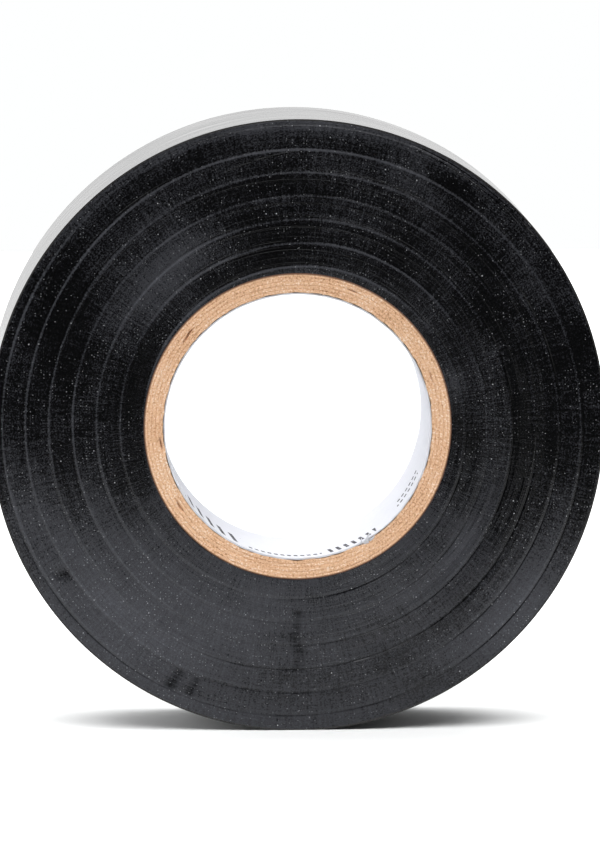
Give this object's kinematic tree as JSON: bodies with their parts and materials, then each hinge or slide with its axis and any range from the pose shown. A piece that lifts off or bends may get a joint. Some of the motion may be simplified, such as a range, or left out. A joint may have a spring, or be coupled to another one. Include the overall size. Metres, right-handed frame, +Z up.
{
  "type": "electrical tape roll",
  "caption": "Full roll of black PVC electrical tape on a paperboard core with a white paper liner; the strip's free end peels away from the rim in a curve.",
  "frame": {"origin": "centre of the core's bore, halfway along its length; the roll stands on its edge", "axes": "+Y is the roll's axis, from its front face to its rear face; +Z is up; seen from the front, +X is to the right and the strip unwinds clockwise from its tip, just above +X"},
  "size_m": [0.0743, 0.019, 0.0742],
  "materials": {
    "tape_edge": "satin",
    "tape_film": "gloss",
    "tape_adhesive": "satin",
    "chipboard": "matte",
    "printed_paper": "satin"
  },
  "bodies": {
    "roll": {"core_liner": "printed_paper", "core_ply_1": "chipboard", "core_ply_2": "chipboard", "core_ply_3": "chipboard", "core_ply_4": "chipboard", "core_ply_5": "chipboard", "winding_1": "tape_edge", "winding_2": "tape_edge", "winding_3": "tape_edge", "winding_4": "tape_edge", "winding_5": "tape_edge", "winding_6": "tape_edge", "winding_7": "tape_edge", "outer_turn_film": "tape_film", "outer_turn_adhesive": "tape_adhesive"},
    "tail_1": {"tail_film_1": "tape_film", "tail_adhesive_1": "tape_adhesive"},
    "tail_2": {"tail_film_2": "tape_film", "tail_adhesive_2": "tape_adhesive"},
    "tail_3": {"tail_film_3": "tape_film", "tail_adhesive_3": "tape_adhesive"},
    "tail_4": {"tail_film_4": "tape_film", "tail_adhesive_4": "tape_adhesive"},
    "tail_5": {"tail_film_5": "tape_film", "tail_adhesive_5": "tape_adhesive"}
  },
  "joints": [
    {"name": "peel_1", "type": "hinge", "parent": "roll", "child": "tail_1", "pos_m": [0.01575, 0, 0.03378], "axis": [0, -1, 0], "range_deg": [0, 22]},
    {"name": "peel_2", "type": "hinge", "parent": "tail_1", "child": "tail_2", "pos_m": [0.02244, 0, 0.02978], "axis": [0, -1, 0], "range_deg": [0, 22]},
    {"name": "peel_3", "type": "hinge", "parent": "tail_2", "child": "tail_3", "pos_m": [0.02814, 0, 0.02447], "axis": [0, -1, 0], "range_deg": [0, 22]},
    {"name": "peel_4", "type": "hinge", "parent": "tail_3", "child": "tail_4", "pos_m": [0.03262, 0, 0.01808], "axis": [0, -1, 0], "range_deg": [0, 22]},
    {"name": "peel_5", "type": "hinge", "parent": "tail_4", "child": "tail_5", "pos_m": [0.03567, 0, 0.01091], "axis": [0, -1, 0], "range_deg": [0, 22]}
  ],
  "couplings": [
    {"joint": "peel_2", "follows": "peel_1", "ratio": 1},
    {"joint": "peel_3", "follows": "peel_1", "ratio": 1},
    {"joint": "peel_4", "follows": "peel_1", "ratio": 1},
    {"joint": "peel_5", "follows": "peel_1", "ratio": 1}
  ]
}
